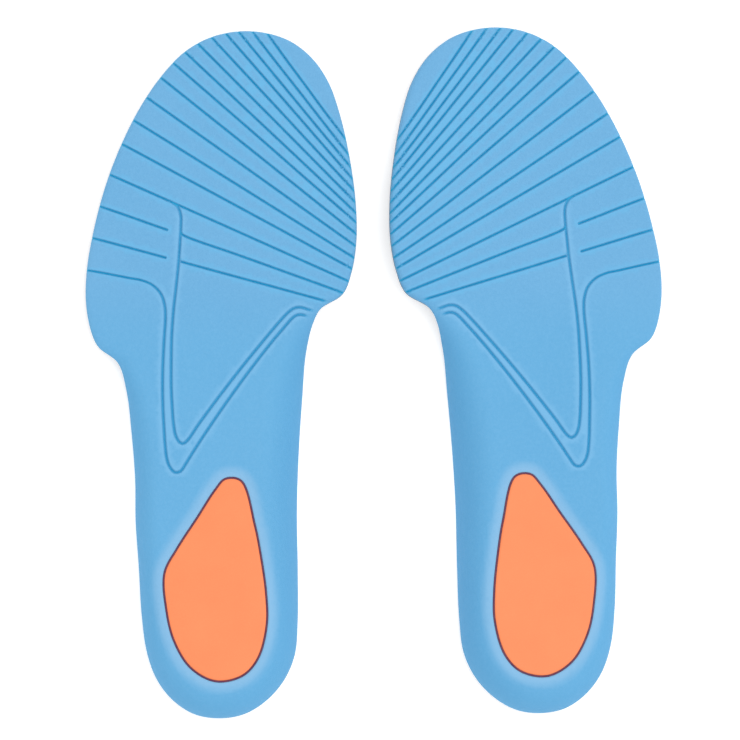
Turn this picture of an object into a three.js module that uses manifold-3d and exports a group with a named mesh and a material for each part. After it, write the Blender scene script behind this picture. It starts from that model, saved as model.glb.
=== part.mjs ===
// A matched pair of full-length cushioned insoles, lying foot side down with their soles up.
// Millimetres, +Z up, +Y towards the toes. The two insoles mirror each other about the plane X = 0, and the origin is on
// the surface they lie on, at the middle of the pair.
//
// Each insole is drawn flat first: its sole is the plane z = 0, its foot side is below, and x and y are those of the
// right insole seen from above. It is then tipped to the pose in which it comes to rest on its toe, its arch wall and
// its outer forefoot edge.
import * as THREE from "three";
import { mergeVertices } from "three/addons/utils/BufferGeometryUtils.js";
import Module from "manifold-3d";

// ---- driving dimensions ----
const FOAM_FOREFOOT = 4.0; // foam thickness under the toes and the ball of the foot
const FOAM_HEEL = 7.6; // foam thickness under the heel
const COVER_THICKNESS = 1.2; // laminated textile cover
const GAP = 0.3; // clearance between touching pieces
const EDGE_DROP = 1.8; // height of the rounding along the forefoot's lower edge
const RIM_LAND = 1.8; // foam thickness at the rim of the heel cup and arch wall
const PAD_PROUD = 0.3; // how far the heel pad stands out of the sole
const PAD_THICKNESS = 3.7;
const FILM_THICKNESS = 0.4; // adhesive film under the heel pad
const POCKET_CLEARANCE = 0.6; // between the heel pad and the wall of its pocket
const PIVOT = [-60, 0]; // the point of the sole that the insole is tipped about
const TIP_X = -0.06744; // radians about X
const TIP_Y = -0.06534; // radians about Y
const SOLE_HEIGHT = 14.955; // height of that point of the sole over the surface

// Wall height below the sole, wall width across and foam thickness, each against y.
const LATERAL_WALL = [[-136, 18.5], [-112, 18.3], [-88, 17.5], [-58, 16.6], [-38, 15.3], [-14, 11.5], [2, 7.4], [11, 4.6], [17, 4], [140, 4]];
const MEDIAL_WALL = [[-136, 18.5], [-112, 18.9], [-84, 20], [-58, 20.5], [-38, 19.2], [-14, 16.2], [2, 13.4], [14, 9.2], [23, 5], [30, 4], [140, 4]];
const LATERAL_WIDTH = [[-136, 11], [-110, 10.5], [-80, 9], [-30, 9], [-5, 8], [6, 5], [14, 2.4], [20, 2], [140, 2]];
const MEDIAL_WIDTH = [[-136, 11], [-112, 11.5], [-90, 12], [-60, 13.5], [-30, 15.5], [-8, 15], [6, 11.5], [16, 7.5], [24, 4.5], [32, 2], [140, 2]];
const FOAM_THICKNESS = [[-140, FOAM_HEEL], [-70, FOAM_HEEL], [-20, 5.6], [30, FOAM_FOREFOOT], [140, FOAM_FOREFOOT]];

// Outline of the right insole, clockwise from the toe, and of its heel pad.
const OUTLINE = [
  [-52.52, 135.36], [-41.33, 134.65], [-31.27, 131.03], [-22.98, 124.28], [-16.72, 114.76], [-12.41, 101.96],
  [-8.91, 84.8], [-6.88, 67.32], [-6.88, 51.82], [-9.03, 39.58], [-12.6, 31.17], [-21.29, 25.47],
  [-24.64, 19.54], [-27.62, 8.71], [-29.55, -9.24], [-31.42, -31.21], [-32.53, -53.11], [-32.63, -75.62],
  [-33.01, -96.11], [-34.38, -109.55], [-38.72, -119.47], [-45.76, -127.39], [-54.6, -132.65], [-64.3, -134.14],
  [-74.04, -132.45], [-82.27, -127.09], [-88.64, -118.84], [-92.5, -107.99], [-94.34, -93.15], [-95.13, -74.16],
  [-96.02, -56.1], [-95.9, -39.54], [-96.94, -20.98], [-98.51, -4.98], [-101.52, 5.66], [-108.91, 11.85],
  [-111.47, 17.08], [-113.56, 28.45], [-113.14, 41.71], [-110.16, 57.72], [-105.18, 75.27], [-98.82, 91.18],
  [-90.98, 106.1], [-82.29, 118.4], [-73.31, 127.52], [-63.51, 132.96],
];
const PAD = [
  [-59.98, -41.1], [-54.01, -41.98], [-49.03, -59.25], [-46.85, -71.56], [-45.05, -86.81], [-45.06, -98.69],
  [-48.68, -111.64], [-54.76, -118.3], [-65.15, -120.35], [-74.77, -115.07], [-81.18, -104.4], [-84.04, -91.83],
  [-84.5, -77.67], [-79.47, -68.23], [-71.21, -56.04], [-64.06, -45.37],
];

// Stations from heel to toe, as distances from each end, and columns, as distances from each side.
const FROM_HEEL = [0, 0.5, 2, 4.5, 8, 13, 20, 29, 40, 52, 64, 76, 88, 100, 111, 120, 127, 133, 138.5, 143, 147, 151, 155, 159, 163, 168, 175];
const FROM_TOE = [86, 72, 58, 45, 34, 25, 18, 12, 7.5, 4.2, 1.9, 0.5, 0];
const FROM_LATERAL = [0, 0.5, 1.6, 3.8, 7.4];
const FROM_MEDIAL = [24, 15, 8.5, 4, 1.4, 0];
const BETWEEN = 2; // columns between the two sets

// ---- curves ----
// Closed curve through the points, sampled evenly.
function closedCurve(points, count) {
  const curve = new THREE.CatmullRomCurve3(points.map(([x, y]) => new THREE.Vector3(x, y, 0)), true, "centripetal");
  curve.arcLengthDivisions = 2000;
  return curve.getSpacedPoints(count).slice(0, count).map((p) => [p.x, p.y]);
}

function table(rows, v) {
  if (v <= rows[0][0]) return rows[0][1];
  for (let i = 1; i < rows.length; i++)
    if (v <= rows[i][0]) {
      const t = (v - rows[i - 1][0]) / (rows[i][0] - rows[i - 1][0]);
      return rows[i - 1][1] + (rows[i][1] - rows[i - 1][1]) * t * t * (3 - 2 * t);
    }
  return rows[rows.length - 1][1];
}

const smooth = (t) => {
  const c = Math.min(1, Math.max(0, t));
  return c * c * (3 - 2 * c);
};

const edge = closedCurve(OUTLINE, 900);
const edgeInward = edge.map((_, i) => {
  const a = edge[(i + edge.length - 2) % edge.length], b = edge[(i + 2) % edge.length];
  const dx = b[0] - a[0], dy = b[1] - a[1], l = Math.hypot(dx, dy);
  return [dy / l, -dx / l]; // the outline runs clockwise, so inward is to the right
});
const ys = edge.map((p) => p[1]);
const toeIndex = ys.indexOf(Math.max(...ys)), heelIndex = ys.indexOf(Math.min(...ys));
// From the toe clockwise to the heel is the big-toe side.
const onMedial = (i) => (i - toeIndex + edge.length) % edge.length < (heelIndex - toeIndex + edge.length) % edge.length;
const raw = edge.map((p, i) => {
  const medial = onMedial(i);
  return {
    wall: table(medial ? MEDIAL_WALL : LATERAL_WALL, p[1]),
    width: table(medial ? MEDIAL_WIDTH : LATERAL_WIDTH, p[1]),
  };
});
// Everything the section needs at each point of the outline.
const section = edge.map((p, i) => {
  let wall = 0, width = 0, n = 0;
  for (let k = -12; k <= 12; k++) {
    const r = raw[(i + k + edge.length) % edge.length];
    wall += r.wall;
    width += r.width;
    n++;
  }
  wall /= n;
  width /= n;
  const cup = smooth((wall - FOAM_FOREFOOT) / 6); // 0 on the flat forefoot, 1 round the cup
  return {
    wall,
    width,
    cup,
    land: RIM_LAND * cup,
    drop: EDGE_DROP + (wall - EDGE_DROP) * cup,
  };
});

function nearest(x, y) {
  let best = 0, least = Infinity;
  for (let i = 0; i < edge.length; i++) {
    const dx = edge[i][0] - x, dy = edge[i][1] - y, q = dx * dx + dy * dy;
    if (q < least) {
      least = q;
      best = i;
    }
  }
  return [Math.sqrt(least), best];
}

const rollOff = (t) => {
  const q = Math.min(1, Math.max(0, 1 - t));
  return 1 - Math.sqrt(Math.max(0, 1 - q * q));
};
const thickness = (y) => table(FOAM_THICKNESS, y);
const soleZ = (x, y, atEdge) => {
  const [d, i] = nearest(x, y), s = section[i];
  return -s.drop * rollOff((atEdge ? 0 : d) / s.width);
};
const footZ = (x, y, atEdge) => {
  const [d, i] = nearest(x, y), s = section[i], t = thickness(y);
  return -t - (s.wall - t) * smooth(s.cup * 4) * rollOff((atEdge ? 0 : Math.max(0, d - s.land)) / (s.width + 1.5)) - (1 - smooth(s.cup * 4)) * 0;
};

// ---- surfaces as rows of points from heel to toe ----
function crossings(loop, y) {
  let low = Infinity, high = -Infinity;
  for (let i = 0; i < loop.length; i++) {
    const a = loop[i], b = loop[(i + 1) % loop.length];
    if ((a[1] <= y) === (b[1] <= y)) continue;
    const x = a[0] + ((b[0] - a[0]) * (y - a[1])) / (b[1] - a[1]);
    low = Math.min(low, x);
    high = Math.max(high, x);
  }
  return [low, high];
}

function sheet(loop, height) {
  const sorted = [...loop].sort((a, b) => a[1] - b[1]);
  const heel = sorted[0], toe = sorted[sorted.length - 1];
  const stations = [...FROM_HEEL.map((v) => heel[1] + v), ...FROM_TOE.map((v) => toe[1] - v)];
  return stations.map((y, r) => {
    if (r === 0) return [[heel[0], heel[1], height(heel[0], heel[1], true)]];
    if (r === stations.length - 1) return [[toe[0], toe[1], height(toe[0], toe[1], true)]];
    const [low, high] = crossings(loop, y), w = high - low;
    const k = Math.min(1, (0.86 * w) / (FROM_LATERAL.at(-1) + FROM_MEDIAL[0]));
    const xs = FROM_LATERAL.map((v) => low + v * k);
    const a = xs.at(-1), b = high - FROM_MEDIAL[0] * k;
    for (let j = 1; j <= BETWEEN; j++) xs.push(a + ((b - a) * j) / (BETWEEN + 1));
    xs.push(...FROM_MEDIAL.map((v) => high - v * k));
    return xs.map((x, j) => [x, y, height(x, y, j === 0 || j === xs.length - 1)]);
  });
}

// The same rows moved along their own normals, away from the sole.
function offsetSheet(rows, distance) {
  const last = rows.length - 1, cols = rows[1].length - 1;
  const at = (i, j) => rows[i].length === 1 ? rows[i][0] : rows[i][Math.min(cols, Math.max(0, j))];
  return rows.map((row, i) =>
    row.map((p, j) => {
      const rim = i === 0 || i === last || j === 0 || j === cols;
      let n;
      if (rim) {
        const [, e] = nearest(p[0], p[1]), c = section[e].cup;
        n = new THREE.Vector3(edgeInward[e][0] * c, edgeInward[e][1] * c, -(1 - c));
      } else {
        const u = new THREE.Vector3(...at(i, j + 1)).sub(new THREE.Vector3(...at(i, j - 1)));
        const v = new THREE.Vector3(...at(i + 1, j)).sub(new THREE.Vector3(...at(i - 1, j)));
        n = v.cross(u);
      }
      n.normalize().multiplyScalar(distance);
      return [p[0] + n.x, p[1] + n.y, p[2] + n.z];
    }),
  );
}

// A closed body between an upper and a lower set of rows with the same layout.
function between(upper, lower) {
  const position = [], index = [];
  const add = (rows) => rows.map((row) => row.map((p) => (position.push(...p), position.length / 3 - 1)));
  const up = add(upper), down = add(lower), last = up.length - 1, cols = up[1].length - 1;
  const id = (g, i, j) => (g[i].length === 1 ? g[i][0] : g[i][j]);
  const quad = (a, b, c, d) => {
    if (a !== b && b !== c && a !== c) index.push(a, b, c);
    if (a !== c && c !== d && a !== d) index.push(a, c, d);
  };
  for (let i = 0; i < last; i++) {
    for (let j = 0; j < cols; j++) {
      quad(id(up, i, j), id(up, i, j + 1), id(up, i + 1, j + 1), id(up, i + 1, j));
      quad(id(down, i, j), id(down, i + 1, j), id(down, i + 1, j + 1), id(down, i, j + 1));
    }
    quad(id(up, i, 0), id(up, i + 1, 0), id(down, i + 1, 0), id(down, i, 0));
    quad(id(up, i, cols), id(down, i, cols), id(down, i + 1, cols), id(up, i + 1, cols));
  }
  const g = new THREE.BufferGeometry();
  g.setAttribute("position", new THREE.Float32BufferAttribute(position, 3));
  g.setIndex(index);
  return g;
}

// ---- booleans ----
const wasm = await Module();
wasm.setup();

function solid(geometry) {
  const plain = geometry.clone();
  plain.deleteAttribute("normal");
  plain.deleteAttribute("uv");
  const merged = mergeVertices(plain, 1e-4);
  return new wasm.Manifold(
    new wasm.Mesh({
      numProp: 3,
      vertProperties: new Float32Array(merged.attributes.position.array),
      triVerts: new Uint32Array(merged.index.array),
    }),
  );
}

function geometryOf(made) {
  const m = made.getMesh();
  const g = new THREE.BufferGeometry();
  g.setAttribute("position", new THREE.BufferAttribute(new Float32Array(m.vertProperties), 3));
  g.setIndex(new THREE.BufferAttribute(new Uint32Array(m.triVerts), 1));
  return g;
}

// A plate of the pad's outline, grown by a margin, between two heights.
function plate(margin, bottom, top) {
  const loop = closedCurve(PAD, 44);
  const grown = loop.map((p, i) => {
    const a = loop[(i + loop.length - 1) % loop.length], b = loop[(i + 1) % loop.length];
    const dx = b[0] - a[0], dy = b[1] - a[1], l = Math.hypot(dx, dy);
    return new THREE.Vector2(p[0] - (dy / l) * margin * padTurn, p[1] + (dx / l) * margin * padTurn);
  });
  return new THREE.ExtrudeGeometry(new THREE.Shape(grown), { depth: top - bottom, bevelEnabled: false, steps: 1 })
    .translate(0, 0, bottom);
}
const padLoop = PAD.map(([x, y]) => new THREE.Vector2(x, y));
const padTurn = THREE.ShapeUtils.isClockWise(padLoop) ? 1 : -1;

// ---- the four pieces of one insole ----
const padBottom = PAD_PROUD - PAD_THICKNESS;
const filmTop = padBottom - GAP;
const pocketFloor = filmTop - FILM_THICKNESS - GAP;

const soleRows = sheet(edge, soleZ);
const footLoop = edge.map((p, i) => [p[0] + edgeInward[i][0] * section[i].land, p[1] + edgeInward[i][1] * section[i].land]);
const footRows = sheet(footLoop, footZ);
const foam = geometryOf(solid(between(soleRows, footRows)).subtract(solid(plate(POCKET_CLEARANCE, pocketFloor, 5))));
const cover = between(offsetSheet(footRows, GAP), offsetSheet(footRows, GAP + COVER_THICKNESS));
const pad = plate(0, padBottom, PAD_PROUD);
const film = plate(0.2, filmTop - FILM_THICKNESS, filmTop);

const pieces = [
  ["foam_base", foam, { color: 0x75b7e5, roughness: 0.85, metalness: 0 }],
  ["heel_pad", pad, { color: 0xff9869, roughness: 0.6, metalness: 0 }],
  ["heel_pad_adhesive", film, { color: 0x521f3e, roughness: 0.5, metalness: 0 }],
  ["top_cover", cover, { color: 0x33475c, roughness: 0.95, metalness: 0 }],
];

function mirrored(geometry) {
  const g = geometry.index ? geometry.toNonIndexed() : geometry.clone();
  g.scale(-1, 1, 1);
  const p = g.attributes.position;
  for (let i = 0; i < p.count; i += 3) {
    const x = p.getX(i), y = p.getY(i), z = p.getZ(i);
    p.setXYZ(i, p.getX(i + 1), p.getY(i + 1), p.getZ(i + 1));
    p.setXYZ(i + 1, x, y, z);
  }
  return g;
}

// One insole, tipped about its pivot and set down.
function insole(side) {
  const hand = side === "right" ? 1 : -1;
  const holder = new THREE.Group();
  holder.position.set(PIVOT[0] * hand, PIVOT[1], SOLE_HEIGHT);
  holder.rotation.set(TIP_X, TIP_Y * hand, 0);
  for (const [name, geometry, look] of pieces) {
    const mesh = new THREE.Mesh(hand > 0 ? geometry : mirrored(geometry), new THREE.MeshStandardMaterial(look));
    mesh.name = side + "_" + name;
    mesh.position.set(-PIVOT[0] * hand, -PIVOT[1], 0);
    holder.add(mesh);
  }
  return holder;
}

const group = new THREE.Group();
group.add(insole("right"), insole("left"));

export default group;
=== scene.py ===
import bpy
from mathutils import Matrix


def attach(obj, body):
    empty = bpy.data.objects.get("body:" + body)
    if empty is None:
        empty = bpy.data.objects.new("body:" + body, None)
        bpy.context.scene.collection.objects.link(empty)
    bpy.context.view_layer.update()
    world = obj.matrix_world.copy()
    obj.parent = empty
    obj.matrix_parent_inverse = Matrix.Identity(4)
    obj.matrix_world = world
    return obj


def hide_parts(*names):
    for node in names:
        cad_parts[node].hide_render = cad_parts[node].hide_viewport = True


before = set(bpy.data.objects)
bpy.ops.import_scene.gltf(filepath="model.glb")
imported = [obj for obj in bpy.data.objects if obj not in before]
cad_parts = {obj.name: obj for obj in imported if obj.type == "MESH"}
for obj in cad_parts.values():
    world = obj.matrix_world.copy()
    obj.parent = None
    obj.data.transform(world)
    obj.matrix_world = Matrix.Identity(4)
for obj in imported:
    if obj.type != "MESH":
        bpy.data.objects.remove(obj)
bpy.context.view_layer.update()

import math

import bpy
import numpy as np
from mathutils import Matrix, Vector
from mathutils.geometry import delaunay_2d_cdt

# A matched pair of cushioned insoles, lying foot side down. All lengths in this part are millimetres in the right
# insole's own flat frame (sole at z = 0, toes towards +y); place() tips an insole to its resting pose and gives metres.

# ---- the insole's dimensions, as in the CAD source ----
FOAM_FOREFOOT, FOAM_HEEL = 4.0, 7.6
COVER_THICKNESS = 1.2
EDGE_DROP = 1.8
RIM_LAND = 1.8
PAD_PROUD, PAD_THICKNESS = 0.3, 3.7
PAD_TRIM, POCKET_CLEARANCE = 0.2, 0.74  # the pad stands this far inside its pocket
PIVOT = (-60.0, 0.0)
TIP_X, TIP_Y, SOLE_HEIGHT = -0.06744, -0.06534, 14.955

LATERAL_WALL = [[-136, 18.5], [-112, 18.3], [-88, 17.5], [-58, 16.6], [-38, 15.3], [-14, 11.5], [2, 7.4], [11, 4.6], [17, 4], [140, 4]]
MEDIAL_WALL = [[-136, 18.5], [-112, 18.9], [-84, 20], [-58, 20.5], [-38, 19.2], [-14, 16.2], [2, 13.4], [14, 9.2], [23, 5], [30, 4], [140, 4]]
LATERAL_WIDTH = [[-136, 11], [-110, 10.5], [-80, 9], [-30, 9], [-5, 8], [6, 5], [14, 2.4], [20, 2], [140, 2]]
MEDIAL_WIDTH = [[-136, 11], [-112, 11.5], [-90, 12], [-60, 13.5], [-30, 15.5], [-8, 15], [6, 11.5], [16, 7.5], [24, 4.5], [32, 2], [140, 2]]
FOAM_THICKNESS = [[-140, FOAM_HEEL], [-70, FOAM_HEEL], [-20, 5.6], [30, FOAM_FOREFOOT], [140, FOAM_FOREFOOT]]

OUTLINE = [
    (-52.52, 135.36), (-41.33, 134.65), (-31.27, 131.03), (-22.98, 124.28), (-16.72, 114.76), (-12.41, 101.96),
    (-8.91, 84.8), (-6.88, 67.32), (-6.88, 51.82), (-9.03, 39.58), (-12.6, 31.17), (-21.29, 25.47),
    (-24.64, 19.54), (-27.62, 8.71), (-29.55, -9.24), (-31.42, -31.21), (-32.53, -53.11), (-32.63, -75.62),
    (-33.01, -96.11), (-34.38, -109.55), (-38.72, -119.47), (-45.76, -127.39), (-54.6, -132.65), (-64.3, -134.14),
    (-74.04, -132.45), (-82.27, -127.09), (-88.64, -118.84), (-92.5, -107.99), (-94.34, -93.15), (-95.13, -74.16),
    (-96.02, -56.1), (-95.9, -39.54), (-96.94, -20.98), (-98.51, -4.98), (-101.52, 5.66), (-108.91, 11.85),
    (-111.47, 17.08), (-113.56, 28.45), (-113.14, 41.71), (-110.16, 57.72), (-105.18, 75.27), (-98.82, 91.18),
    (-90.98, 106.1), (-82.29, 118.4), (-73.31, 127.52), (-63.51, 132.96),
]
PAD = [
    (-59.98, -41.1), (-54.01, -41.98), (-49.03, -59.25), (-46.85, -71.56), (-45.05, -86.81), (-45.06, -98.69),
    (-48.68, -111.64), (-54.76, -118.3), (-65.15, -120.35), (-74.77, -115.07), (-81.18, -104.4), (-84.04, -91.83),
    (-84.5, -77.67), (-79.47, -68.23), (-71.21, -56.04), (-64.06, -45.37),
]

# ---- the sole's relief ----
# name: (half width, depth, taper at the start, taper at the end, points)
# the last number on each of the next two lines sets how strongly the grooves' colour is darkened as painted shade
FAN_HALF, FAN_DEPTH, FAN_GROOVE_SHADE = 0.64, 0.9, 1.0
RIB_HALF, RIB_DEPTH, RIB_GROOVE_SHADE = 0.74, 0.85, 0.68
GROOVES = {
    "fan00": (FAN_HALF, FAN_DEPTH, -1, -1, [
        (-101.39, 78.89), (-78.99, 68.39), (-56.6, 57.85), (-34.28, 47.29), (-11.89, 36.7),
    ]),
    "fan01": (FAN_HALF, FAN_DEPTH, -1, -1, [
        (-96.36, 90.66), (-74.83, 78.48), (-53.4, 66.32), (-31.93, 54.1), (-10.51, 41.8),
    ]),
    "fan02": (FAN_HALF, FAN_DEPTH, -1, -1, [
        (-91.73, 99.81), (-71.17, 86.47), (-50.67, 73.1), (-30.17, 59.68), (-9.72, 46.29),
    ]),
    "fan03": (FAN_HALF, FAN_DEPTH, -1, -1, [
        (-86.54, 108.66), (-67.16, 94.31), (-47.73, 79.94), (-28.36, 65.48), (-9.01, 51.08),
    ]),
    "fan04": (FAN_HALF, FAN_DEPTH, -1, -1, [
        (-80.82, 116.17), (-62.78, 101.16), (-44.84, 86.21), (-26.83, 71.17), (-8.84, 56.14),
    ]),
    "fan05": (FAN_HALF, FAN_DEPTH, -1, -1, [
        (-75.86, 121.79), (-59.06, 106.57), (-42.29, 91.36), (-25.57, 76.06), (-8.78, 60.83),
    ]),
    "fan06": (FAN_HALF, FAN_DEPTH, -1, -1, [
        (-71.31, 125.98), (-55.66, 110.73), (-40.04, 95.45), (-24.44, 80.17), (-8.86, 64.83),
    ]),
    "fan07": (FAN_HALF, FAN_DEPTH, -1, -1, [
        (-66.36, 129.28), (-52.05, 114.33), (-37.77, 99.39), (-23.53, 84.4), (-9.28, 69.4),
    ]),
    "fan08": (FAN_HALF, FAN_DEPTH, -1, -1, [
        (-60.93, 131.56), (-48.11, 117.17), (-35.26, 102.81), (-22.49, 88.43), (-9.62, 74.04),
    ]),
    "fan09": (FAN_HALF, FAN_DEPTH, -1, -1, [
        (-55.22, 132.81), (-44.05, 119.45), (-32.82, 106.09), (-21.67, 92.68), (-10.5, 79.32),
    ]),
    "fan10": (FAN_HALF, FAN_DEPTH, -1, -1, [
        (-50.16, 133.28), (-40.41, 120.98), (-30.67, 108.7), (-20.94, 96.39), (-11.16, 84.17),
    ]),
    "fan11": (FAN_HALF, FAN_DEPTH, -1, -1, [
        (-44.43, 132.68), (-36.35, 121.83), (-28.23, 111.08), (-20.12, 100.24), (-12.11, 89.55),
    ]),
    "fan12": (FAN_HALF, FAN_DEPTH, -1, -1, [
        (-38.74, 131.83), (-32.41, 122.75), (-25.99, 113.75), (-19.62, 104.69), (-13.14, 95.76),
    ]),
    "in1": (FAN_HALF, FAN_DEPTH, 1.4, -1, [
        (-76, 57.6), (-75.5, 55.9), (-73.64, 54.71), (-53.93, 47.29), (-34.21, 39.75), (-14.56, 32.2),
    ]),
    "in2": (FAN_HALF, FAN_DEPTH, 1, 3.5, [
        (-76.7, 45.2), (-74.44, 44.5), (-56.75, 39.26), (-37.39, 33.59), (-23.05, 29.36), (-17.7747, 27.8039),
    ]),
    "short1": (FAN_HALF, FAN_DEPTH, -1, 0, [
        (-105.3, 66.58), (-97.25, 63.63), (-89.23, 60.58), (-81.21, 57.59),
    ]),
    "short2": (FAN_HALF, FAN_DEPTH, -1, 0, [
        (-107.6, 54.11), (-99.49, 51.76), (-90.63, 49.17), (-82.03, 46.63),
    ]),
    "outer_v": (RIB_HALF, RIB_DEPTH, -1, 2.4, [
        (-110.42, 41.83), (-105.74, 40.9), (-96.42, 38.9), (-91.75, 37.95), (-87.36, 35.96), (-84.1, 32.43),
        (-82.67, 27.86), (-82.47, 23), (-83.21, 13.51), (-83.95, 1.66), (-84.13, -10.33), (-83.85, -19.88),
        (-83.46, -27.94), (-82.83, -33.07), (-81.58, -36.26), (-79.63, -38.11), (-77.62, -37.6), (-75.44, -34.57),
        (-72.65, -30.24), (-67.33, -22.38), (-59.06, -10.79), (-50.52, 0.55), (-41.59, 11.7), (-35.57, 18.59),
        (-32.95, 21.46), (-30.96, 22.92), (-28.98, 23.12), (-27.02, 22.61), (-25.8587, 22.3078),
    ]),
    "inner_v": (RIB_HALF, RIB_DEPTH, 0, 2.6, [
        (-78.96, 68.38), (-76.79, 66.52), (-75.72, 63.42), (-75.71, 59.04), (-76.2, 52.78), (-76.89, 44.83),
        (-78.02, 35.34), (-79.23, 25.9), (-80.09, 16.41), (-80.53, 5.53), (-80.69, -5), (-80.45, -12.18),
        (-80.08, -18.53), (-79.36, -23.29), (-78.07, -25.92), (-76.51, -26.82), (-74.75, -25.58), (-70.15, -19.17),
        (-61.45, -7.83), (-52.48, 3.31), (-43.2, 14.25), (-36.9, 21.39), (-34.3, 24.01), (-31.9, 25.7),
        (-29.33, 26.04), (-26.78, 25.28), (-24.62, 24.61), (-23.4739, 24.2545),
    ]),
}
DIMPLE = (-58.0, 24.4)  # centre of the shallow round hollow under the ball of the foot
DIMPLE_RADIUS, DIMPLE_DEPTH = 13.0, 0.8


# ---- small tools ----
def catmull(points, closed, per):
    """Centripetal Catmull-Rom curve through the points."""
    p = np.asarray(points, float)
    n = len(p)
    out = []
    q = np.linspace(0, 1, per, endpoint=False)[:, None]
    for i in range(n if closed else n - 1):
        if closed:
            p0, p1, p2, p3 = p[i - 1], p[i], p[(i + 1) % n], p[(i + 2) % n]
        else:
            p1, p2 = p[i], p[i + 1]
            p0 = p[i - 1] if i else 2 * p1 - p2
            p3 = p[i + 2] if i + 2 < n else 2 * p2 - p1
        d0, d1, d2 = (max(float(np.hypot(*(b - a))) ** 0.5, 1e-6) for a, b in ((p0, p1), (p1, p2), (p2, p3)))
        t1 = ((p1 - p0) / d0 - (p2 - p0) / (d0 + d1) + (p2 - p1) / d1) * d1
        t2 = ((p2 - p1) / d1 - (p3 - p1) / (d1 + d2) + (p3 - p2) / d2) * d1
        out.append(
            p1 * (2 * q**3 - 3 * q**2 + 1) + t1 * (q**3 - 2 * q**2 + q) + p2 * (-2 * q**3 + 3 * q**2) + t2 * (q**3 - q**2)
        )
    if not closed:
        out.append(p[-1:])
    return np.vstack(out)


def lengths(p, closed):
    q = np.vstack([p, p[:1]]) if closed else p
    return np.r_[0, np.cumsum(np.hypot(*np.diff(q, axis=0).T))], q


def at_length(p, closed, where):
    s, q = lengths(p, closed)
    return np.c_[np.interp(where, s, q[:, 0]), np.interp(where, s, q[:, 1])]


def table(rows, v):
    rows = np.asarray(rows, float)
    v = np.clip(v, rows[0, 0], rows[-1, 0])
    i = np.clip(np.searchsorted(rows[:, 0], v, side="left") - 1, 0, len(rows) - 2)
    t = (v - rows[i, 0]) / (rows[i + 1, 0] - rows[i, 0])
    return rows[i, 1] + (rows[i + 1, 1] - rows[i, 1]) * t * t * (3 - 2 * t)


def smooth(t):
    t = np.clip(t, 0, 1)
    return t * t * (3 - 2 * t)


def roll_off(t):
    q = np.clip(1 - t, 0, 1)
    return 1 - np.sqrt(np.maximum(0, 1 - q * q))


def nearest(line, closed, points):
    """Distance from each point to a polyline, and the fractional index of the foot on it."""
    n = len(line)
    dist = np.empty(len(points))
    index = np.empty(len(points))
    for a in range(0, len(points), 3000):
        q = points[a : a + 3000]
        d2 = ((q[:, None, :] - line[None, :, :]) ** 2).sum(2)
        k = d2.argmin(1)
        best = np.sqrt(d2[np.arange(len(q)), k])
        frac = k.astype(float)
        for step in (-1, 0):
            i = k + step
            if closed:
                i %= n
                ok = np.ones(len(q), bool)
            else:
                ok = (i >= 0) & (i < n - 1)
                i = np.clip(i, 0, n - 2)
            u, w = line[i], line[(i + 1) % n]
            e = w - u
            t = np.clip(((q - u) * e).sum(1) / np.maximum((e * e).sum(1), 1e-12), 0, 1)
            d = np.hypot(*(q - u - e * t[:, None]).T)
            better = ok & (d < best)
            best = np.where(better, d, best)
            frac = np.where(better, i + t, frac)
        dist[a : a + 3000] = best
        index[a : a + 3000] = frac
    return dist, index


def inside(loop, points):
    x, y = points[:, 0], points[:, 1]
    hit = np.zeros(len(points), bool)
    for (x0, y0), (x1, y1) in zip(loop, np.roll(loop, -1, 0)):
        if y0 == y1:
            continue
        c = (y0 > y) != (y1 > y)
        hit ^= c & (x < (x1 - x0) * (y - y0) / (y1 - y0) + x0)
    return hit


def inward_normals(loop):
    t = np.roll(loop, -1, 0) - np.roll(loop, 1, 0)
    t /= np.hypot(*t.T)[:, None]
    area = (loop[:, 0] * np.roll(loop[:, 1], -1) - np.roll(loop[:, 0], -1) * loop[:, 1]).sum()
    n = np.c_[-t[:, 1], t[:, 0]]
    return n if area > 0 else -n


def hexes(low, high, step):
    rows = []
    k = 0
    y = low[1]
    while y < high[1]:
        x = np.arange(low[0] + (step / 2 if k % 2 else 0), high[0], step)
        rows.append(np.c_[x, np.full(len(x), y)])
        y += step * 0.8660254
        k += 1
    return np.vstack(rows)


class Points:
    """Points for a triangulation, kept apart; the first ones given win."""

    CELL = 0.5

    def __init__(self):
        self.p, self.cells = [], {}

    def add(self, points, apart):
        reach = int(math.ceil(apart / self.CELL))
        taken = []
        for x, y in points:
            cx, cy = int(x // self.CELL), int(y // self.CELL)
            near = False
            if apart > 0:
                for i in range(cx - reach, cx + reach + 1):
                    for j in range(cy - reach, cy + reach + 1):
                        for k in self.cells.get((i, j), ()):
                            px, py = self.p[k]
                            if (px - x) ** 2 + (py - y) ** 2 < apart * apart:
                                near = True
                                break
                        if near:
                            break
                    if near:
                        break
            if near:
                continue
            self.cells.setdefault((cx, cy), []).append(len(self.p))
            taken.append(len(self.p))
            self.p.append((float(x), float(y)))
        return taken

    def triangles(self, loops, outer, holes=()):
        """Faces inside the outer loop and outside the holes, counter-clockwise."""
        edges = [(loop[i], loop[(i + 1) % len(loop)]) for loop in loops for i in range(len(loop))]
        v, _, f, origin, _, _ = delaunay_2d_cdt([Vector(p) for p in self.p], edges, [], 0, 1e-7)
        if len(v) != len(self.p):
            raise RuntimeError("the triangulation merged or added points")
        back = np.empty(len(v), int)
        for i, o in enumerate(origin):
            back[i] = o[0]
        f = back[np.array([t for t in f if len(t) == 3])]
        p = np.array(self.p)
        c = p[f].mean(1)
        keep = inside(outer, c)
        for h in holes:
            keep &= ~inside(h, c)
        f = f[keep]
        a, b, c = p[f[:, 0]], p[f[:, 1]], p[f[:, 2]]
        area = (b[:, 0] - a[:, 0]) * (c[:, 1] - a[:, 1]) - (b[:, 1] - a[:, 1]) * (c[:, 0] - a[:, 0])
        f[area < 0] = f[area < 0][:, ::-1]
        return p, f[np.abs(area) > 1e-9]


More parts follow.
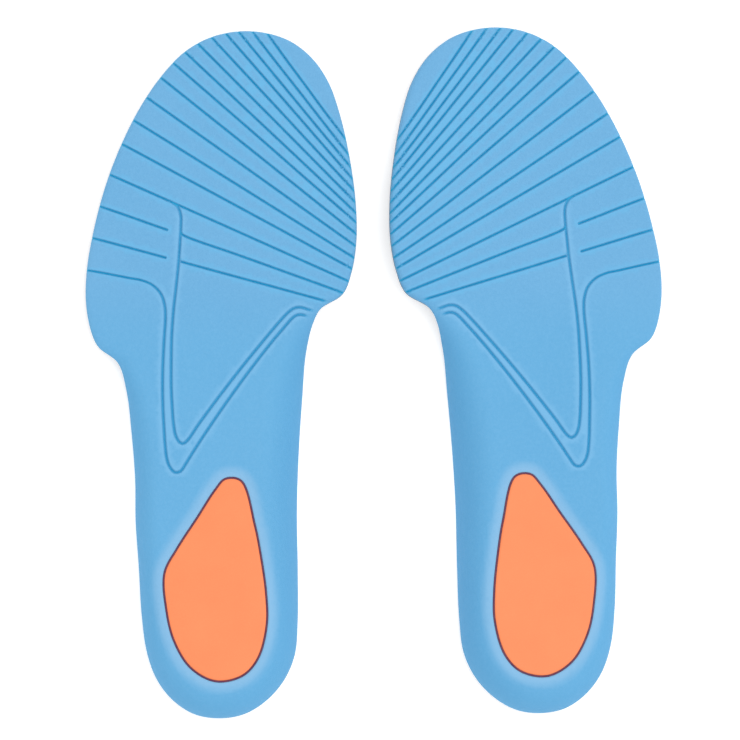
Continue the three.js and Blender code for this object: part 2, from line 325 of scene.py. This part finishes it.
# ---- the outline, its sections and the grooves ----
_dense = catmull(OUTLINE, True, 60)
_total = lengths(_dense, True)[0][-1]
EDGE = at_length(_dense, True, np.arange(1400) * _total / 1400)
EDGE_IN = inward_normals(EDGE)
_toe, _heel = int(EDGE[:, 1].argmax()), int(EDGE[:, 1].argmin())
_i = np.arange(len(EDGE))
_medial = ((_i - _toe) % len(EDGE)) < ((_heel - _toe) % len(EDGE))


def _section():
    wall = np.where(_medial, table(MEDIAL_WALL, EDGE[:, 1]), table(LATERAL_WALL, EDGE[:, 1]))
    width = np.where(_medial, table(MEDIAL_WIDTH, EDGE[:, 1]), table(LATERAL_WIDTH, EDGE[:, 1]))
    k = 19

    def blur(v):
        return sum(np.roll(v, j) for j in range(-k, k + 1)) / (2 * k + 1)

    wall, width = blur(wall), blur(width)
    cup = smooth((wall - FOAM_FOREFOOT) / 6)
    return wall, width, cup, RIM_LAND * cup, EDGE_DROP + (wall - EDGE_DROP) * cup


WALL, WIDTH, CUP, LAND, DROP = _section()


def pick(values, index):
    i = np.floor(index).astype(int) % len(values)
    t = index - np.floor(index)
    return values[i] * (1 - t) + values[(i + 1) % len(values)] * t


PAD_LOOP = catmull(PAD, True, 24)
PAD_LOOP = at_length(PAD_LOOP, True, np.arange(220) * lengths(PAD_LOOP, True)[0][-1] / 220)
PAD_LOOP = PAD_LOOP + inward_normals(PAD_LOOP) * PAD_TRIM
POCKET = PAD_LOOP - inward_normals(PAD_LOOP) * POCKET_CLEARANCE

LINES = {}
for _name, (_half, _depth, _t0, _t1, _pts) in GROOVES.items():
    _c = catmull(_pts, False, 14)
    if _t0 < 0:  # runs out over the edge at its start
        _c = np.vstack([_c[0] + (_c[0] - _c[3]) / np.hypot(*(_c[0] - _c[3])) * 7, _c])
    if _t1 < 0:
        _c = np.vstack([_c, _c[-1] + (_c[-1] - _c[-4]) / np.hypot(*(_c[-1] - _c[-4])) * 7])
    _l = lengths(_c, False)[0][-1]
    LINES[_name] = at_length(_c, False, np.linspace(0, _l, int(_l / 0.5) + 2))


def relief(p):
    """Depth of the grooves at each point, and masks for the painted shade inside each groove and the painted highlight
    on its lips and ridges.
    """
    depth = np.zeros(len(p))
    deep = np.zeros(len(p))
    lip = np.zeros(len(p))
    ridge_and_highlight = np.zeros(len(p))
    for name, (half, full, t0, t1, _) in GROOVES.items():
        line = LINES[name]
        low, high = line.min(0) - 3, line.max(0) + 3
        near = np.flatnonzero(((p > low) & (p < high)).all(1))
        if not len(near):
            continue
        r, f = nearest(line, False, p[near])
        run = f * 0.5
        total = (len(line) - 1) * 0.5
        fade = np.ones(len(near))
        if t0 > 0:
            fade *= smooth(run / t0)
        if t1 > 0:
            fade *= smooth((total - run) / t1)
        soft = np.full(len(near), 0.0 if half == FAN_HALF else 1.0)
        if name == "outer_v":  # starts as a fan groove does, and softens round the bend
            soft = smooth((run - 24) / 16)
        wide = FAN_HALF + (RIB_HALF - FAN_HALF) * soft
        groove_shade_amount = FAN_GROOVE_SHADE + (RIB_GROOVE_SHADE - FAN_GROOVE_SHADE) * soft
        bell = 0.5 + 0.5 * np.cos(np.pi * np.minimum(r / wide, 1))
        g = full * bell**0.85 * fade
        depth[near] = np.maximum(depth[near], g)
        # deep: mask for the painted shade inside the groove
        deep[near] = np.maximum(deep[near], bell * fade * groove_shade_amount)
        # painted highlight: a light band just outside each groove, on the lips of the fan grooves and on the ridges
        # beside the rib grooves
        painted_highlight = np.exp(-(((r - wide * 1.45) / (0.36 * wide + 0.05)) ** 2)) * fade
        if name == "inner_v":
            painted_highlight = painted_highlight * smooth((run - 2) / 5)
        lip[near] = np.maximum(lip[near], painted_highlight * (1 - soft))
        ridge_and_highlight[near] += painted_highlight * soft
    clear = 1 - smooth(deep * 3)
    return depth, deep, lip * clear, np.minimum(ridge_and_highlight, 1.5) * clear


def sole(p, at_edge):
    """Heights of the sole at each point, with what the material needs to know."""
    d, i = nearest(EDGE, True, p)
    d = np.where(at_edge, 0, d)
    width, drop = pick(WIDTH, i), pick(DROP, i)
    base = -drop * roll_off(d / width)
    depth, deep, lip, ridge_and_highlight = relief(p)
    dp, _ = nearest(POCKET, True, p)
    pocket = 0.4 * roll_off(dp / 0.6)
    dish = 0.35 * (1 - smooth(dp / 4.2))
    r = np.hypot(p[:, 0] - DIMPLE[0], p[:, 1] - DIMPLE[1]) / DIMPLE_RADIUS
    hollow = DIMPLE_DEPTH * (1 - smooth(r)) ** 1.3
    # the ridge mask raises the rib ridges 0.12 mm here; the material also paints a highlight on them
    z = base - depth - np.where(dp < 0.6, pocket, 0) - hollow - dish + 0.12 * ridge_and_highlight
    # halo: mask for the painted highlight round the pad pocket
    halo = 1 - smooth((dp - 1.6) / 3.6)
    slope = smooth(1 - d / width)
    # wall: mask for the painted shade on the sloping walls
    return z, dict(groove=deep, lip=lip, ridge_and_highlight=ridge_and_highlight, halo=halo, wall=slope * pick(CUP, i), fore=smooth((p[:, 1] - 5) / 40))


def foot(p, at_edge):
    d, i = nearest(EDGE, True, p)
    land, wall, width, cup = pick(LAND, i), pick(WALL, i), pick(WIDTH, i), smooth(pick(CUP, i) * 4)
    d = np.where(at_edge, 0, np.maximum(0, d - land))
    t = table(FOAM_THICKNESS, p[:, 1])
    return -t - (wall - t) * cup * roll_off(d / (width + 1.5))


# ---- stations round the outline: even, and closer together where a groove runs out over the edge ----
_step = 1.05
_where = list(np.arange(0, _total, _step))
for _name, (_half, _depth, _t0, _t1, _) in GROOVES.items():
    for _end, _line in ((_t0, LINES[_name]), (_t1, LINES[_name][::-1])):
        if _end >= 0:
            continue
        _d, _f = nearest(EDGE, True, _line[:60])
        _k = int(_d.argmin())
        _s = _f[_k] / len(EDGE) * _total
        for _o in (-1.0, -0.72, -0.5, -0.32, -0.15, 0, 0.15, 0.32, 0.5, 0.72, 1.0):
            _where.append((_s + _o * _half * 1.25) % _total)
_where = np.sort(np.array(_where))
_keep = [_where[0]]
for _v in _where[1:]:
    if _v - _keep[-1] > 0.11:
        _keep.append(_v)
STATION = np.array(_keep) * len(EDGE) / _total
STATION = STATION[STATION < len(EDGE) - 0.15]
RING = np.c_[pick(EDGE[:, 0], STATION), pick(EDGE[:, 1], STATION)]
RING_IN = np.c_[pick(EDGE_IN[:, 0], STATION), pick(EDGE_IN[:, 1], STATION)]
RING_IN /= np.hypot(*RING_IN.T)[:, None]


def ring_points(points, ring, normal, offsets, reference, slack, apart=0.03):
    for k, o in enumerate(offsets):
        q = ring + normal * o
        d, _ = nearest(reference, True, q)
        q = q[d > o * 0.985 - slack]
        points.add(q if o < 4 else q[::2] if o < 7 else q[::2], apart if o < 1 else 0.35 if o < 4 else 0.7)


def sole_mesh():
    pts = Points()
    outer = pts.add(RING, 0)
    hole = pts.add(POCKET, 0)
    for o in (0.1, 0.26, 0.6, 1.1):
        pts.add(POCKET + -inward_normals(POCKET) * o, 0.05)
    ring_points(pts, RING, RING_IN, (0.05, 0.2), EDGE, 0.01)
    for name, (half, _, _, _, _) in GROOVES.items():
        line = LINES[name]
        total = (len(line) - 1) * 0.5
        n = max(4, int(total / 1.15))
        run = np.linspace(0, total, n + 1)
        c = at_length(line, False, run)
        t = np.gradient(c, axis=0)
        t /= np.hypot(*t.T)[:, None]
        side = np.c_[-t[:, 1], t[:, 0]]
        for o in (0, -0.25, 0.25, -0.5, 0.5, -0.75, 0.75, -1.02, 1.02, -1.5, 1.5):
            q = c + side * (o * half)
            ok = inside(EDGE, q)
            q = q[ok]
            if not len(q):
                continue
            d, _ = nearest(EDGE, True, q)
            dp, _ = nearest(POCKET, True, q)
            q = q[(d > 0.12) & (dp > 0.3)]
            pts.add(q, 0.16)
        for end, sign in ((c[0], -1), (c[-1], 1)):  # round ends
            tt = t[0] if sign < 0 else t[-1]
            for rr in (0.5, 1.0, 1.5):
                ang = np.linspace(-1.2, 1.2, 5) + math.atan2(tt[1] * sign, tt[0] * sign)
                q = end + rr * half * np.c_[np.cos(ang), np.sin(ang)]
                q = q[inside(EDGE, q)]
                if len(q):
                    d, _ = nearest(EDGE, True, q)
                    pts.add(q[d > 0.12], 0.16)
    ring_points(pts, RING, RING_IN, (0.5, 0.9, 1.4, 2.0, 2.8, 3.8, 5.0, 6.4, 8.0, 9.8, 11.8), EDGE, 0.01)
    fill = hexes(EDGE.min(0), EDGE.max(0), 1.75)
    fill = fill[inside(EDGE, fill)]
    d, _ = nearest(EDGE, True, fill)
    dp, _ = nearest(POCKET, True, fill)
    fill = fill[(d > 2.6) & ~inside(POCKET, fill) & (dp > 0.8)]
    pts.add(fill, 1.0)
    p, f = pts.triangles([outer, hole], RING, [POCKET])
    edge = np.zeros(len(p), bool)
    edge[outer] = True
    used = np.zeros(len(p), bool)
    used[f.ravel()] = True
    z, look = sole(p, edge)
    return np.c_[p, z], f, np.array(outer), np.array(hole), look


def foot_mesh():
    land = pick(LAND, STATION)
    ring = RING + RING_IN * land[:, None]
    pts = Points()
    outer = pts.add(ring, 0)
    for o in (0.06, 0.22, 0.5, 0.95, 1.6, 2.5, 3.7, 5.2, 7.2, 9.6, 12.4):
        q = ring + RING_IN * o
        d, i = nearest(EDGE, True, q)
        q = q[d > (pick(LAND, i) + o) * 0.985 - 0.01]
        pts.add(q if o < 0.4 else q[::2], 0.03 if o < 0.4 else 0.3 if o < 1 else 0.9)
    fill = hexes(EDGE.min(0), EDGE.max(0), 2.9)
    fill = fill[inside(ring, fill)]
    d, _ = nearest(ring, True, fill)
    pts.add(fill[d > 1.6], 1.9)
    p, f = pts.triangles([outer], ring)
    edge = np.zeros(len(p), bool)
    edge[outer] = True
    return np.c_[p, foot(p, edge)], f, np.array(outer)


# ---- meshes ----
def place(v, hand):
    """Tips points of the right insole's flat frame to the resting pose, in metres; hand -1 is the mirrored left one."""
    cx, sx, cy, sy = math.cos(TIP_X), math.sin(TIP_X), math.cos(TIP_Y), math.sin(TIP_Y)
    r = np.array([[1, 0, 0], [0, cx, -sx], [0, sx, cx]]) @ np.array([[cy, 0, sy], [0, 1, 0], [-sy, 0, cy]])
    v = (np.asarray(v, float) - (PIVOT[0], PIVOT[1], 0)) @ r.T + (PIVOT[0], PIVOT[1], SOLE_HEIGHT)
    v[:, 0] *= hand
    return v / 1000


def make(name, v, faces, hand, material, attributes=None, sharp=40):
    v = place(v, hand)
    if hand < 0:
        faces = [tuple(f[::-1]) for f in faces]
    mesh = bpy.data.meshes.new(name)
    mesh.from_pydata(v.tolist(), [], [tuple(int(i) for i in f) for f in faces])
    mesh.update()
    mesh.validate()
    for key, values in (attributes or {}).items():
        a = mesh.attributes.new(key, "FLOAT", "POINT")
        a.data.foreach_set("value", np.asarray(values, np.float32))
    mesh.shade_smooth()
    mesh.set_sharp_from_angle(angle=math.radians(sharp))
    mesh.materials.append(material)
    o = bpy.data.objects.new(name, mesh)
    bpy.context.scene.collection.objects.link(o)
    return o


def strip(a, b):
    """Quads between two loops of the same length; a above b, running counter-clockwise seen from above, faces out."""
    n = len(a)
    return [(a[i], b[i], b[(i + 1) % n], a[(i + 1) % n]) for i in range(n)]


def ccw(loop):
    return (loop[:, 0] * np.roll(loop[:, 1], -1) - np.roll(loop[:, 0], -1) * loop[:, 1]).sum() > 0


class Body:
    def __init__(self):
        self.v, self.f, self.look, self.n = [], [], {}, 0

    def add(self, v, look=None):
        v = np.asarray(v, float)
        start = self.n
        self.v.append(v)
        for k in KEYS:
            self.look.setdefault(k, []).append(np.asarray(look[k]) if look and k in look else np.zeros(len(v)))
        self.n += len(v)
        return start + np.arange(len(v))

    def faces(self, f):
        self.f += [tuple(t) for t in f]

    def arrays(self):
        return np.vstack(self.v), self.f, {k: np.concatenate(a) for k, a in self.look.items()}


KEYS = ("groove", "lip", "ridge_and_highlight", "halo", "wall", "fore")


def band(body, upper, lower, ids_upper, ids_lower, steps, outward, look=None):
    """Rows between two loops, so that a side has points on it; outward is True where the loops' outside is the surface."""
    rows = [ids_upper]
    for k in range(1, steps):
        t = k / steps
        rows.append(body.add(upper * (1 - t) + lower * t, look))
    rows.append(ids_lower)
    turn = ccw(upper[:, :2]) == outward
    for a, b in zip(rows, rows[1:]):
        q = strip(a, b)
        body.faces(q if turn else [t[::-1] for t in q])


def cap(loop, step, rings):
    """Points and faces that fill a loop: rings inward, then an even field."""
    pts = Points()
    outer = pts.add(loop, 0)
    n = inward_normals(loop)
    for o in rings:
        q = loop + n * o
        d, _ = nearest(loop, True, q)
        pts.add(q[(d > o * 0.97 - 0.01) & inside(loop, q)], 0.03 if o < 0.3 else 0.3)
    fill = hexes(loop.min(0), loop.max(0), step)
    fill = fill[inside(loop, fill)]
    d, _ = nearest(loop, True, fill)
    pts.add(fill[d > (rings[-1] if rings else 0) + step * 0.5], step * 0.7)
    p, f = pts.triangles([outer], loop)
    return p, f, np.array(outer)


PAD_BOTTOM = PAD_PROUD - PAD_THICKNESS
POCKET_FLOOR = PAD_BOTTOM - 0.9


def foam_body():
    body = Body()
    top, f, outer, hole, look = SOLE
    ids = body.add(top, look)
    body.faces(ids[f])
    low, g, rim = FOOT
    ids2 = body.add(low)
    body.faces(ids2[g][:, ::-1])
    band(body, top[outer], low[rim], ids[outer], ids2[rim], 3, True, dict(fore=np.ones(len(outer))))
    # the pocket's wall and floor
    p, h, ring = cap(POCKET, 4.0, ())
    floor = body.add(np.c_[p, np.full(len(p), POCKET_FLOOR)])
    body.faces(floor[h])
    band(body, top[hole], np.c_[POCKET, np.full(len(POCKET), POCKET_FLOOR)], ids[hole], floor[ring], 3, False)
    return body.arrays()


def vertex_normals(v, f):
    n = np.zeros_like(v)
    fn = np.cross(v[f[:, 1]] - v[f[:, 0]], v[f[:, 2]] - v[f[:, 0]])
    for k in range(3):
        np.add.at(n, f[:, k], fn)
    return n / np.maximum(np.linalg.norm(n, axis=1), 1e-12)[:, None]


def cover_body():
    low, g, rim = FOOT
    n = -vertex_normals(low, g)
    cup = pick(CUP, STATION)
    n[rim] = np.c_[RING_IN * cup[:, None], -(1 - cup)]
    n[rim] /= np.linalg.norm(n[rim], axis=1)[:, None]
    body = Body()
    a, b = low + n * 0.04, low + n * (0.04 + COVER_THICKNESS)
    # the cut edge: a straight band between the two faces, in two rows of quads
    ia, ib = body.add(a), body.add(b)
    body.faces(ia[g])
    body.faces(ib[g][:, ::-1])
    band(body, a[rim], b[rim], ia[rim], ib[rim], 2, True)
    return body.arrays()


def pad_body():
    p, f, ring = cap(PAD_LOOP, 2.2, (0.05, 0.15, 0.32, 0.6, 1.1, 2.0, 3.4))
    edge = np.zeros(len(p), bool)
    edge[ring] = True
    d, _ = nearest(PAD_LOOP, True, p)
    d = np.where(edge, 0, d)
    z = PAD_PROUD - 0.55 * roll_off(d / 0.62) - 0.25 * np.exp(-((d / 5.0) ** 1.5))
    body = Body()
    top = body.add(np.c_[p, z])
    body.faces(top[f])
    q, h, low = cap(PAD_LOOP, 5.0, ())
    bottom = body.add(np.c_[q, np.full(len(q), PAD_BOTTOM)])
    body.faces(bottom[h][:, ::-1])
    band(body, np.c_[PAD_LOOP, z[ring]], np.c_[PAD_LOOP, np.full(len(PAD_LOOP), PAD_BOTTOM)], top[ring], bottom[low], 3, True)
    return body.arrays()


def film_body():
    """The adhesive: a film under the pad, drawn up round its edge as a thin bead; its dark colour is partly the glue's
    own and partly painted shade for the narrow gap round the pad.
    """
    body = Body()
    n = inward_normals(PAD_LOOP)
    out, inn = PAD_LOOP - n * (POCKET_CLEARANCE - 0.03), PAD_LOOP - n * 0.03
    lip = -0.42
    q, h, low = cap(out, 5.0, ())
    bottom = body.add(np.c_[q, np.full(len(q), POCKET_FLOOR + 0.03)])
    body.faces(bottom[h][:, ::-1])
    r, k, mid = cap(inn, 5.0, ())
    film = body.add(np.c_[r, np.full(len(r), PAD_BOTTOM - 0.03)])
    body.faces(film[k])
    crest = PAD_LOOP - n * (POCKET_CLEARANCE / 2)
    a, b, c = (np.c_[w, np.full(len(w), z)] for w, z in ((out, lip - 0.12), (crest, lip), (inn, lip - 0.12)))
    ia, ib, ic = body.add(a), body.add(b), body.add(c)
    band(body, a, np.c_[out, np.full(len(out), POCKET_FLOOR + 0.03)], ia, bottom[low], 2, True)
    band(body, b, a, ib, ia, 1, True)
    band(body, b, c, ib, ic, 1, False)
    band(body, c, np.c_[inn, np.full(len(inn), PAD_BOTTOM - 0.03)], ic, film[mid], 2, False)
    return body.arrays()


# ---- materials ----
def srgb(r, g, b, k=0.890):
    out = []
    for v in (r, g, b):
        v /= 255
        out.append((v / 12.92 if v <= 0.04045 else ((v + 0.055) / 1.055) ** 2.4) * k)
    return (*out, 1.0)


class Nodes:
    def __init__(self, name):
        self.m = bpy.data.materials.new(name)
        self.m.use_nodes = True
        self.t = self.m.node_tree
        self.t.nodes.clear()
        self.out = self.new("ShaderNodeOutputMaterial")
        self.bsdf = self.new("ShaderNodeBsdfPrincipled")
        self.link(self.bsdf.outputs["BSDF"], self.out.inputs["Surface"])
        self.coord = self.new("ShaderNodeTexCoord").outputs["Object"]

    def new(self, kind, **props):
        n = self.t.nodes.new(kind)
        for k, v in props.items():
            setattr(n, k, v)
        return n

    def link(self, a, b):
        self.t.links.new(a, b)

    def attribute(self, name):
        return self.new("ShaderNodeAttribute", attribute_name=name, attribute_type="GEOMETRY").outputs["Fac"]

    def noise(self, scale, detail=2.0, rough=0.5, coord=None):
        n = self.new("ShaderNodeTexNoise")
        n.inputs["Scale"].default_value = scale
        n.inputs["Detail"].default_value = detail
        n.inputs["Roughness"].default_value = rough
        self.link(coord or self.coord, n.inputs["Vector"])
        return n.outputs["Fac"]

    def voronoi(self, scale, feature="F1", coord=None, output="Distance"):
        n = self.new("ShaderNodeTexVoronoi", feature=feature)
        n.inputs["Scale"].default_value = scale
        self.link(coord or self.coord, n.inputs["Vector"])
        return n.outputs[output]

    def math(self, op, a, b=None, c=None, clamp=False):
        n = self.new("ShaderNodeMath", operation=op, use_clamp=clamp)
        for i, v in enumerate((a, b, c)):
            if v is None:
                continue
            if isinstance(v, (int, float)):
                n.inputs[i].default_value = v
            else:
                self.link(v, n.inputs[i])
        return n.outputs[0]

    def range(self, v, a, b, c, d):
        n = self.new("ShaderNodeMapRange")
        self.link(v, n.inputs["Value"])
        for k, x in (("From Min", a), ("From Max", b), ("To Min", c), ("To Max", d)):
            n.inputs[k].default_value = x
        return n.outputs["Result"]

    def mix(self, factor, a, b, kind="MIX"):
        n = self.new("ShaderNodeMix", data_type="RGBA", blend_type=kind)
        if isinstance(factor, (int, float)):
            n.inputs["Factor"].default_value = factor
        else:
            self.link(factor, n.inputs["Factor"])
        for key, v in (("A", a), ("B", b)):
            s = [i for i in n.inputs if i.name == key and i.type == "RGBA"][0]
            if isinstance(v, tuple):
                s.default_value = v
            else:
                self.link(v, s)
        return [o for o in n.outputs if o.type == "RGBA"][0]

    def bump(self, height, distance, strength=1.0, normal=None):
        n = self.new("ShaderNodeBump")
        n.inputs["Strength"].default_value = strength
        n.inputs["Distance"].default_value = distance
        self.link(height, n.inputs["Height"])
        if normal is not None:
            self.link(normal, n.inputs["Normal"])
        return n.outputs["Normal"]

    def finish(self, color, rough, normal=None, **sockets):
        self.link(color, self.bsdf.inputs["Base Color"])
        if isinstance(rough, (int, float)):
            self.bsdf.inputs["Roughness"].default_value = rough
        else:
            self.link(rough, self.bsdf.inputs["Roughness"])
        if normal is not None:
            self.link(normal, self.bsdf.inputs["Normal"])
        for k, v in sockets.items():
            self.bsdf.inputs[k.replace("_", " ")].default_value = v
        return self.m


def foam_material():
    n = Nodes("moulded_foam")
    # the third colour on the next line is the painted shade inside the grooves
    base, light, groove = srgb(97, 167, 212), srgb(122, 182, 223), srgb(0, 160, 206)
    # the colour of the painted highlight on the groove lips
    edge = srgb(101, 177, 221)
    # the second colour on the next line is the painted shade on the sloping walls
    toes, wall_shade = srgb(103, 165, 209), srgb(72, 152, 202)
    # the colour of the painted highlight round the pad pocket
    halo_highlight = srgb(134, 183, 220)
    cool = srgb(88, 158, 204)
    large = n.range(n.noise(22, 2), 0.3, 0.7, 0.0, 1.0)
    color = n.mix(n.attribute("fore"), base, toes)
    color = n.mix(n.math("MULTIPLY", large, 0.3), color, cool)
    color = n.mix(n.math("MULTIPLY", n.range(n.noise(820, 2, 0.6), 0.4, 0.66, 0, 1), 0.16), color, light)
    grain = n.noise(2400, 2, 0.6)
    amount = n.range(n.attribute("fore"), 0, 1, 0.16, 0.36)
    color = n.mix(n.math("MULTIPLY", n.range(grain, 0.38, 0.66, 0, 1), amount), color, light)
    cells = n.range(n.voronoi(3300), 0.0, 0.22, 1.0, 0.0)  # the skin's pinholes
    color = n.mix(n.math("MULTIPLY", cells, 0.22), color, cool)
    # painted shade: the sloping walls are darkened towards a deeper blue
    color = n.mix(n.math("MULTIPLY", n.attribute("wall"), 0.34), color, wall_shade)
    # painted highlight: a lighter, warmer band round the pad pocket
    color = n.mix(n.math("MULTIPLY", n.attribute("halo"), 0.85), color, halo_highlight)
    # painted highlight along the lips of the fan grooves
    color = n.mix(n.math("MULTIPLY", n.attribute("lip"), 0.75), color, edge)
    # painted highlight along the rib ridges, mixed with the lighter colour
    color = n.mix(n.math("MULTIPLY", n.attribute("ridge_and_highlight"), 0.62), color, light)
    # painted shade: the inside of each groove is darkened towards the groove colour
    color = n.mix(n.math("MULTIPLY", n.attribute("groove"), 1.0, clamp=True), color, groove)
    rough = n.range(grain, 0.3, 0.7, 0.72, 0.9)
    height = n.math("ADD", n.math("MULTIPLY", grain, 1.0), n.math("MULTIPLY", cells, -0.6))
    normal = n.bump(height, 0.00011, 0.9)
    normal = n.bump(n.noise(620, 3, 0.6), 0.00014, 0.6, normal)
    return n.finish(color, rough, normal, Specular_IOR_Level=0.25)


def pad_material():
    n = Nodes("shock_pad")
    base, light, deep = srgb(248, 136, 84), srgb(252, 148, 98), srgb(238, 124, 74)
    mottle = n.range(n.noise(70, 3), 0.3, 0.7, 0, 1)
    color = n.mix(n.math("MULTIPLY", mottle, 0.35), base, deep)
    grain = n.noise(1900, 2, 0.6)
    color = n.mix(n.math("MULTIPLY", n.range(grain, 0.4, 0.7, 0, 1), 0.3), color, light)
    specks = n.range(n.voronoi(900), 0.0, 0.12, 1.0, 0.0)
    color = n.mix(n.math("MULTIPLY", specks, 0.25), color, deep)
    rough = n.range(grain, 0.3, 0.7, 0.5, 0.66)
    normal = n.bump(grain, 0.00004, 0.7)
    normal = n.bump(n.noise(240, 2), 0.00009, 0.4, normal)
    return n.finish(color, rough, normal, Specular_IOR_Level=0.4)


def glue_and_gap_shade_material():
    n = Nodes("adhesive")
    # dark plum: partly the glue's own colour, partly painted shade standing in for the narrow gap round the pad
    a, b = srgb(98, 12, 56), srgb(74, 18, 72)
    color = n.mix(n.range(n.noise(300, 2), 0.35, 0.65, 0, 1), a, b)
    normal = n.bump(n.noise(700, 2), 0.00008, 0.6)
    return n.finish(color, n.range(n.noise(500, 1), 0.3, 0.7, 0.35, 0.6), normal)


def cover_material():
    """A fine knit: columns of small V-shaped loops, about 1.3 mm wide."""
    n = Nodes("knit_cover")
    split = n.new("ShaderNodeSeparateXYZ")
    n.link(n.coord, split.inputs[0])
    x, y = split.outputs["X"], split.outputs["Y"]
    pitch, course = 1.3e-3, 1.05e-3
    u = n.math("PINGPONG", n.math("DIVIDE", x, pitch / 2), 1.0)  # 0 at a column's middle, 1 at its edge
    v = n.math("ADD", n.math("DIVIDE", y, course), n.math("MULTIPLY", u, 0.55))
    loop = n.math("PINGPONG", n.math("MULTIPLY", v, 2.0), 1.0)
    yarn = n.math("MULTIPLY", n.math("SINE", n.math("MULTIPLY", loop, 1.5708)), n.math("SUBTRACT", 1.0, n.math("POWER", u, 4.0)))
    dark, mid, light = srgb(20, 32, 49), srgb(58, 82, 110), srgb(92, 118, 146)
    color = n.mix(yarn, dark, mid)
    fibre = n.noise(5200, 3, 0.65)
    color = n.mix(n.math("MULTIPLY", n.range(fibre, 0.5, 0.8, 0, 1), 0.5), color, light)
    color = n.mix(n.math("MULTIPLY", n.range(n.noise(35, 2), 0.35, 0.65, 0, 1), 0.25), color, dark)
    height = n.math("ADD", yarn, n.math("MULTIPLY", fibre, 0.35))
    normal = n.bump(height, 0.00025, 0.9)
    return n.finish(color, 0.92, normal, Specular_IOR_Level=0.2, Sheen_Weight=0.3, Sheen_Roughness=0.4)


def floor_material():
    n = Nodes("floor")
    color = n.mix(n.range(n.noise(3, 2), 0.3, 0.7, 0, 1), (0.83, 0.83, 0.83, 1), (0.85, 0.85, 0.85, 1))
    n.bsdf.inputs["Emission Color"].default_value = (1, 1, 1, 1)
    return n.finish(color, 0.9, None, Specular_IOR_Level=0.1, Emission_Strength=0.4)


FOAM, SHOCK, GLUE_AND_GAP_SHADE, KNIT = foam_material(), pad_material(), glue_and_gap_shade_material(), cover_material()

# ---- the pieces ----
SOLE = sole_mesh()
FOOT = foot_mesh()
BODIES = {"foam_base": (foam_body(), FOAM), "heel_pad": (pad_body(), SHOCK), "heel_pad_adhesive": (film_body(), GLUE_AND_GAP_SHADE), "top_cover": (cover_body(), KNIT)}
for side, hand in (("right", 1), ("left", -1)):
    for part, ((v, f, look), material) in BODIES.items():
        o = make(side + "_" + part + "_look", v, f, hand, material, look if part == "foam_base" else None)
        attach(o, side + "_insole")
        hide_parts(side + "_" + part)

# ---- floor, light and camera ----
floor = bpy.data.meshes.new("floor")
floor.from_pydata([(-30, -30, 0), (30, -30, 0), (30, 30, 0), (-30, 30, 0)], [], [(0, 1, 2, 3)])
floor.materials.append(floor_material())
floor = bpy.data.objects.new("floor", floor)
bpy.context.scene.collection.objects.link(floor)
floor.location.z = -0.0002

world = bpy.data.worlds.new("studio")
bpy.context.scene.world = world
world.use_nodes = True
world.node_tree.nodes["Background"].inputs["Color"].default_value = (1, 1, 1, 1)
world.node_tree.nodes["Background"].inputs["Strength"].default_value = 1.0


def sun(name, direction, strength, angle, color=(1, 1, 1)):
    data = bpy.data.lights.new(name, "SUN")
    data.energy, data.angle, data.color = strength, math.radians(angle), color
    o = bpy.data.objects.new(name, data)
    o.rotation_mode = "QUATERNION"
    o.rotation_quaternion = Vector(direction).to_track_quat("Z", "Y")
    bpy.context.scene.collection.objects.link(o)


sun("key", (0.31, 0.10, 1.0), 1.07, 55)

CAM_DISTANCE, CAM_TILT, CAM_ROLL = 10.0, math.radians(2.8), 0.0155554
TARGET = Vector((-0.00186, 0.0010, 0.005))
back = Vector((-math.sin(CAM_TILT), 0, math.cos(CAM_TILT)))
right = Vector((math.sin(CAM_ROLL), math.cos(CAM_ROLL), 0)).cross(back).normalized()
up = back.cross(right)
cam = bpy.data.objects.new("camera", bpy.data.cameras.new("camera"))
cam.data.sensor_width = 36
cam.data.lens = 36 * CAM_DISTANCE / 0.2912
cam.data.clip_start, cam.data.clip_end = 0.1, 100
m = Matrix((right, up, back)).transposed().to_4x4()
m.translation = TARGET + back * CAM_DISTANCE
cam.matrix_world = m
bpy.context.scene.collection.objects.link(cam)
bpy.context.scene.camera = cam
bpy.context.scene.view_settings.view_transform = "Standard"
